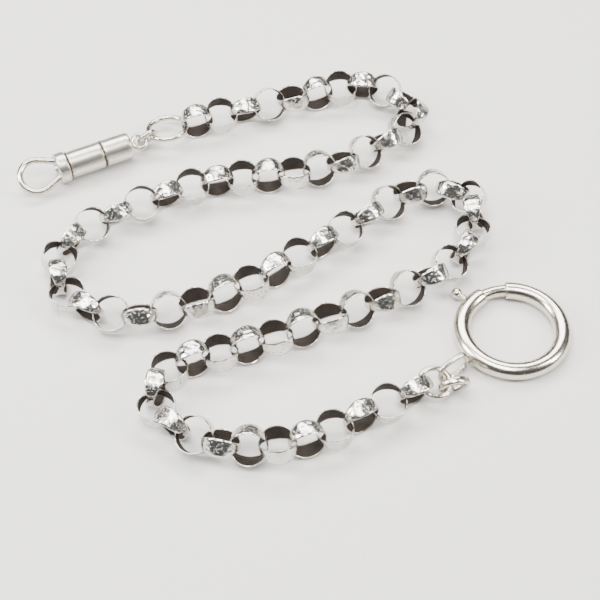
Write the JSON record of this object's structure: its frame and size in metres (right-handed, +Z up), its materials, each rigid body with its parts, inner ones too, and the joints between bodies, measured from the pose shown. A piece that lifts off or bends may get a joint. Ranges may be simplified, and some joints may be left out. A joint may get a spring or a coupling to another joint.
{
  "type": "pocket watch chain",
  "caption": "Belcher-link watch chain laid in rows, with a sprung bolt ring at one end and a screw barrel with a swivelling wire loop at the other.",
  "frame": {"origin": "centre of the overall box, on the surface that the chain lies on", "axes": "+Z up from the surface; +X towards the bolt ring; +Y towards the row that ends in the screw barrel"},
  "size_m": [0.086, 0.0772, 0.0061],
  "materials": {
    "chain_silver": "worn silver, lightly hammered, tarnished in the hollows",
    "ring_silver": "polished silver with a warm tarnish",
    "wire_silver": "drawn silver wire, worn",
    "barrel_silver": "turned silver with fine scratches and brown tarnish at the seam",
    "spring_steel": "dark spring steel",
    "inner_brass": "dull brass screw and pin"
  },
  "bodies": {
    "chain_links_01_to_03": {"chain_links_01_to_03": "chain_silver"},
    "chain_links_04_to_06": {"chain_links_04_to_06": "chain_silver"},
    "chain_link_07": {"chain_link_07": "chain_silver"},
    "chain_link_08": {"chain_link_08": "chain_silver"},
    "chain_link_09": {"chain_link_09": "chain_silver"},
    "chain_link_10": {"chain_link_10": "chain_silver"},
    "chain_link_11": {"chain_link_11": "chain_silver"},
    "chain_link_12": {"chain_link_12": "chain_silver"},
    "chain_link_13": {"chain_link_13": "chain_silver"},
    "chain_link_14": {"chain_link_14": "chain_silver"},
    "chain_links_15_to_17": {"chain_links_15_to_17": "chain_silver"},
    "chain_links_18_to_20": {"chain_links_18_to_20": "chain_silver"},
    "chain_links_21_to_23": {"chain_links_21_to_23": "chain_silver"},
    "chain_link_24": {"chain_link_24": "chain_silver"},
    "chain_link_25": {"chain_link_25": "chain_silver"},
    "chain_link_26": {"chain_link_26": "chain_silver"},
    "chain_link_27": {"chain_link_27": "chain_silver"},
    "chain_link_28": {"chain_link_28": "chain_silver"},
    "chain_link_29": {"chain_link_29": "chain_silver"},
    "chain_link_30": {"chain_link_30": "chain_silver"},
    "chain_link_31": {"chain_link_31": "chain_silver"},
    "chain_link_32": {"chain_link_32": "chain_silver"},
    "chain_links_33_to_35": {"chain_links_33_to_35": "chain_silver"},
    "chain_links_36_to_38": {"chain_links_36_to_38": "chain_silver"},
    "chain_links_39_to_41": {"chain_links_39_to_41": "chain_silver"},
    "chain_link_42": {"chain_link_42": "chain_silver"},
    "chain_link_43": {"chain_link_43": "chain_silver"},
    "chain_link_44": {"chain_link_44": "chain_silver"},
    "chain_link_45": {"chain_link_45": "chain_silver"},
    "chain_link_46": {"chain_link_46": "chain_silver"},
    "chain_link_47": {"chain_link_47": "chain_silver"},
    "chain_link_48": {"chain_link_48": "chain_silver"},
    "chain_link_49": {"chain_link_49": "chain_silver"},
    "chain_link_50": {"chain_link_50": "chain_silver"},
    "chain_links_51_to_53": {"chain_links_51_to_53": "chain_silver"},
    "chain_links_54_to_56": {"chain_links_54_to_56": "chain_silver"},
    "chain_links_57_to_59": {"chain_links_57_to_59": "chain_silver"},
    "chain_link_60": {"chain_link_60": "chain_silver"},
    "chain_link_61": {"chain_link_61": "chain_silver"},
    "chain_links_62_to_64": {"chain_links_62_to_64": "chain_silver"},
    "chain_links_65_to_67": {"chain_links_65_to_67": "chain_silver"},
    "chain_links_68_to_70": {"chain_links_68_to_70": "chain_silver"},
    "chain_links_71_to_73": {"chain_links_71_to_73": "chain_silver"},
    "front_jump_ring": {"front_jump_ring": "wire_silver"},
    "loose_ring": {"loose_ring": "wire_silver"},
    "bolt_ring": {"bolt_ring_body": "ring_silver", "ring_eye": "wire_silver", "spring_stop": "inner_brass", "bolt_spring": "spring_steel"},
    "ring_bolt": {"ring_bolt": "ring_silver", "thumb_knob": "ring_silver"},
    "rear_jump_ring": {"rear_jump_ring": "wire_silver"},
    "small_jump_ring": {"small_jump_ring": "wire_silver"},
    "barrel_cap": {"barrel_cap": "barrel_silver", "cap_eye": "wire_silver", "screw_stud": "inner_brass"},
    "swivel_pin": {"swivel_pin": "barrel_silver"},
    "barrel_sleeve": {"barrel_sleeve": "barrel_silver"},
    "loop_head": {"loop_collar": "barrel_silver", "wire_loop": "wire_silver"}
  },
  "joints": [
    {"name": "ring_bolt_slide", "type": "hinge", "parent": "bolt_ring", "child": "ring_bolt", "pos_m": [0.03422, -0.01449, 0.00132], "axis": [0, 0, 1], "range_deg": [0, 38], "stiffness_Nm_per_rad": 0.0015, "springref_deg": -20.05, "deforming": ["bolt_spring"]},
    {"name": "barrel_screw", "type": "hinge", "parent": "swivel_pin", "child": "barrel_sleeve", "pos_m": [-0.03677, 0.01712, 0.00255], "axis": [0.9001, 0.4357, 0], "range_deg": [0, 721]},
    {"name": "barrel_travel", "type": "slide", "parent": "barrel_cap", "child": "swivel_pin", "axis": [-0.9001, -0.4357, 0], "range_m": [0, 0.001]},
    {"name": "loop_swivel", "type": "hinge", "parent": "swivel_pin", "child": "loop_head", "pos_m": [-0.03677, 0.01712, 0.00255], "axis": [0.9001, 0.4357, 0], "continuous": true},
    {"name": "links_38_39", "type": "hinge", "parent": "chain_links_36_to_38", "child": "chain_links_39_to_41", "pos_m": [0.00252, -0.00139, 0.00282], "axis": [0.0926, -0.1261, 0.9877], "range_deg": [-10, 15]},
    {"name": "links_41_42", "type": "hinge", "parent": "chain_links_39_to_41", "child": "chain_link_42", "pos_m": [0.01316, 0.00677, 0.00303], "axis": [0.522, -0.6432, -0.5601], "range_deg": [-32.5, 50]},
    {"name": "links_42_43", "type": "hinge", "parent": "chain_link_42", "child": "chain_link_43", "pos_m": [0.01662, 0.00951, 0.00287], "axis": [0.4035, -0.5654, 0.7193], "range_deg": [-60, 15]},
    {"name": "links_43_44", "type": "hinge", "parent": "chain_link_43", "child": "chain_link_44", "pos_m": [0.02022, 0.01181, 0.00292], "axis": [-0.2303, 0.5253, 0.8192], "range_deg": [-7.5, 60]},
    {"name": "links_44_45", "type": "hinge", "parent": "chain_link_44", "child": "chain_link_45", "pos_m": [0.02392, 0.01271, 0.00305], "axis": [-0.0635, 0.8637, -0.5], "range_deg": [-60, 37.5]},
    {"name": "links_45_46", "type": "hinge", "parent": "chain_link_45", "child": "chain_link_46", "pos_m": [0.02702, 0.01231, 0.00286], "axis": [-0.2631, -0.6292, -0.7314], "range_deg": [-27.5, 7.5]},
    {"name": "links_46_47", "type": "hinge", "parent": "chain_link_46", "child": "chain_link_47", "pos_m": [0.02942, 0.01041, 0.00295], "axis": [-0.4264, -0.2611, 0.866], "range_deg": [-5, 60]},
    {"name": "links_47_48", "type": "hinge", "parent": "chain_link_47", "child": "chain_link_48", "pos_m": [0.03002, 0.00741, 0.00297], "axis": [0.9743, 0.0148, 0.225], "range_deg": [-60, 12.5]},
    {"name": "links_48_49", "type": "hinge", "parent": "chain_link_48", "child": "chain_link_49", "pos_m": [0.02952, 0.00381, 0.00269], "axis": [-0.0336, 0.0093, -0.9994], "range_deg": [-60, 5]},
    {"name": "links_49_50", "type": "hinge", "parent": "chain_link_49", "child": "chain_link_50", "pos_m": [0.02802, 0.00021, 0.003], "axis": [-0.8379, 0.4806, 0.2588], "range_deg": [-42.5, 60]},
    {"name": "links_50_51", "type": "hinge", "parent": "chain_link_50", "child": "chain_links_51_to_53", "pos_m": [0.02562, -0.00299, 0.00295], "axis": [0.3238, -0.3182, 0.891], "range_deg": [-5, 42.5]},
    {"name": "links_53_54", "type": "hinge", "parent": "chain_links_51_to_53", "child": "chain_links_54_to_56", "pos_m": [0.01502, -0.00989, 0.00289], "axis": [-0.2843, 0.5461, 0.788], "range_deg": [-40, 60]},
    {"name": "links_56_57", "type": "hinge", "parent": "chain_links_54_to_56", "child": "chain_links_57_to_59", "pos_m": [0.00308, -0.01535, 0.00302], "axis": [-0.3691, 0.8794, -0.3007], "range_deg": [-42.5, 60]},
    {"name": "links_59_60", "type": "hinge", "parent": "chain_links_57_to_59", "child": "chain_link_60", "pos_m": [-0.00908, -0.01969, 0.00277], "axis": [0.0299, -0.1002, -0.9945], "range_deg": [0, 37.5]},
    {"name": "links_60_61", "type": "hinge", "parent": "chain_link_60", "child": "chain_link_61", "pos_m": [-0.01298, -0.02079, 0.00279], "axis": [-0.3952, 0.9179, -0.0349], "range_deg": [-60, 60]},
    {"name": "links_61_62", "type": "hinge", "parent": "chain_link_61", "child": "chain_links_62_to_64", "pos_m": [-0.01628, -0.02279, 0.00271], "axis": [0.037, -0.037, 0.9986], "range_deg": [-60, 0]},
    {"name": "links_64_65", "type": "hinge", "parent": "chain_links_62_to_64", "child": "chain_links_65_to_67", "pos_m": [-0.01528, -0.03209, 0.00302], "axis": [-0.6037, -0.7349, -0.309], "range_deg": [-35, 60]},
    {"name": "links_67_68", "type": "hinge", "parent": "chain_links_65_to_67", "child": "chain_links_68_to_70", "pos_m": [-0.00448, -0.03579, 0.00305], "axis": [0.0403, 0.8979, -0.4384], "range_deg": [-2.5, 17.5]},
    {"name": "links_70_71", "type": "hinge", "parent": "chain_links_68_to_70", "child": "chain_links_71_to_73", "pos_m": [0.00744, -0.03294, 0.00267], "axis": [0.012, -0.0233, 0.9997], "range_deg": [-60, 2.5]},
    {"name": "links_36_35", "type": "hinge", "parent": "chain_links_36_to_38", "child": "chain_links_33_to_35", "pos_m": [-0.00478, -0.00659, 0.00277], "axis": [0.0549, -0.0889, -0.9945], "range_deg": [-7.5, 7.5]},
    {"name": "links_33_32", "type": "hinge", "parent": "chain_links_33_to_35", "child": "chain_link_32", "pos_m": [-0.01701, -0.012, 0.00304], "axis": [0.2109, -0.815, 0.5398], "range_deg": [-37.5, 30]},
    {"name": "links_32_31", "type": "hinge", "parent": "chain_link_32", "child": "chain_link_31", "pos_m": [-0.02128, -0.01279, 0.00287], "axis": [0.0562, -0.6924, -0.7193], "range_deg": [-5, 57.5]},
    {"name": "links_31_30", "type": "hinge", "parent": "chain_link_31", "child": "chain_link_30", "pos_m": [-0.02548, -0.01269, 0.00294], "axis": [0.0913, 0.522, -0.848], "range_deg": [-42.5, 10]},
    {"name": "links_30_29", "type": "hinge", "parent": "chain_link_30", "child": "chain_link_29", "pos_m": [-0.02928, -0.01139, 0.00302], "axis": [0.4494, 0.8382, 0.309], "range_deg": [-60, 42.5]},
    {"name": "links_29_28", "type": "hinge", "parent": "chain_link_29", "child": "chain_link_28", "pos_m": [-0.03238, -0.00899, 0.00273], "axis": [-0.0533, -0.045, 0.9976], "range_deg": [-5, 20]},
    {"name": "links_28_27", "type": "hinge", "parent": "chain_link_28", "child": "chain_link_27", "pos_m": [-0.03418, -0.00559, 0.00287], "axis": [-0.9607, -0.2571, 0.1045], "range_deg": [-32.5, 60]},
    {"name": "links_27_26", "type": "hinge", "parent": "chain_link_27", "child": "chain_link_26", "pos_m": [-0.03428, -0.00189, 0.00291], "axis": [-0.2714, 0.0483, -0.9613], "range_deg": [-12.5, 5]},
    {"name": "links_26_25", "type": "hinge", "parent": "chain_link_26", "child": "chain_link_25", "pos_m": [-0.03288, 0.00171, 0.00305], "axis": [0.7499, -0.4813, -0.454], "range_deg": [-37.5, 17.5]},
    {"name": "links_25_24", "type": "hinge", "parent": "chain_link_25", "child": "chain_link_24", "pos_m": [-0.02998, 0.00481, 0.0029], "axis": [0.3911, -0.4574, 0.7986], "range_deg": [-60, 35]},
    {"name": "links_24_23", "type": "hinge", "parent": "chain_link_24", "child": "chain_links_21_to_23", "pos_m": [-0.02639, 0.00726, 0.00299], "axis": [-0.4045, 0.6742, 0.618], "range_deg": [-60, 35]},
    {"name": "links_21_20", "type": "hinge", "parent": "chain_links_21_to_23", "child": "chain_links_18_to_20", "pos_m": [-0.01468, 0.01291, 0.00293], "axis": [0.1101, -0.3064, 0.9455], "range_deg": [-10, 40]},
    {"name": "links_18_17", "type": "hinge", "parent": "chain_links_18_to_20", "child": "chain_links_15_to_17", "pos_m": [-0.00247, 0.0155, 0.00276], "axis": [0.121, -0.9926, 0.0131], "range_deg": [-60, 60]},
    {"name": "links_15_14", "type": "hinge", "parent": "chain_links_15_to_17", "child": "chain_link_14", "pos_m": [0.00962, 0.01831, 0.00293], "axis": [0.2439, -0.5032, -0.829], "range_deg": [-60, 27.5]},
    {"name": "links_14_13", "type": "hinge", "parent": "chain_link_14", "child": "chain_link_13", "pos_m": [0.01327, 0.02059, 0.00292], "axis": [0.4144, -0.6005, 0.6839], "range_deg": [-60, 60]},
    {"name": "links_13_12", "type": "hinge", "parent": "chain_link_13", "child": "chain_link_12", "pos_m": [0.01672, 0.02321, 0.00295], "axis": [-0.4561, 0.6013, 0.6561], "range_deg": [-60, 60]},
    {"name": "links_12_11", "type": "hinge", "parent": "chain_link_12", "child": "chain_link_11", "pos_m": [0.02002, 0.02571, 0.00287], "axis": [-0.5101, 0.3911, -0.766], "range_deg": [-60, 25]},
    {"name": "links_11_10", "type": "hinge", "parent": "chain_link_11", "child": "chain_link_10", "pos_m": [0.02132, 0.02921, 0.00294], "axis": [0.7431, 0.0108, -0.6691], "range_deg": [-12.5, 35]},
    {"name": "links_10_09", "type": "hinge", "parent": "chain_link_10", "child": "chain_link_09", "pos_m": [0.01992, 0.03261, 0.00287], "axis": [0.5626, 0.4074, 0.7193], "range_deg": [-37.5, 10]},
    {"name": "links_09_08", "type": "hinge", "parent": "chain_link_09", "child": "chain_link_08", "pos_m": [0.01712, 0.03501, 0.00285], "axis": [-0.3123, -0.5769, 0.7547], "range_deg": [-20, 30]},
    {"name": "links_08_07", "type": "hinge", "parent": "chain_link_08", "child": "chain_link_07", "pos_m": [0.01327, 0.03621, 0.00305], "axis": [-0.0712, -0.9072, -0.4147], "range_deg": [-60, 7.5]},
    {"name": "links_07_06", "type": "hinge", "parent": "chain_link_07", "child": "chain_links_04_to_06", "pos_m": [0.00947, 0.03561, 0.00289], "axis": [-0.0522, 0.2362, -0.9703], "range_deg": [-10, 27.5]},
    {"name": "links_04_03", "type": "hinge", "parent": "chain_links_04_to_06", "child": "chain_links_01_to_03", "pos_m": [-0.00258, 0.0317, 0.00296], "axis": [0.2514, -0.7184, 0.6486], "range_deg": [-25, 12.5]},
    {"name": "front_ring_on_link", "type": "hinge", "parent": "chain_links_71_to_73", "child": "front_jump_ring", "pos_m": [0.01902, -0.02649, 0.00304], "axis": [0.4566, -0.8213, -0.342], "range_deg": [-5, 60]},
    {"name": "loose_ring_swing", "type": "hinge", "parent": "front_jump_ring", "child": "loose_ring", "pos_m": [0.02221, -0.02445, 0.00197], "axis": [0.1849, -0.1251, 0.9748], "range_deg": [-32.5, 17.5]},
    {"name": "bolt_ring_swing", "type": "hinge", "parent": "front_jump_ring", "child": "bolt_ring", "pos_m": [0.02221, -0.02445, 0.00197], "axis": [0.1849, -0.1251, 0.9748], "range_deg": [-17.5, 10]},
    {"name": "rear_ring_on_link", "type": "hinge", "parent": "chain_links_01_to_03", "child": "rear_jump_ring", "pos_m": [-0.01458, 0.02791, 0.00281], "axis": [-0.2815, 0.9581, 0.0523], "range_deg": [-10, 30]},
    {"name": "small_ring_swing", "type": "hinge", "parent": "rear_jump_ring", "child": "small_jump_ring", "pos_m": [-0.01949, 0.02677, 0.00216], "axis": [-0.0742, 0.1851, 0.9799], "range_deg": [-60, 20]},
    {"name": "barrel_swing", "type": "hinge", "parent": "small_jump_ring", "child": "barrel_cap", "pos_m": [-0.02268, 0.02461, 0.00225], "axis": [0.5641, -0.7333, -0.3795], "range_deg": [-37.5, 60]}
  ],
  "couplings": [
    {"joint": "barrel_screw", "follows": "barrel_travel", "rad_per_m": 12566}
  ]
}
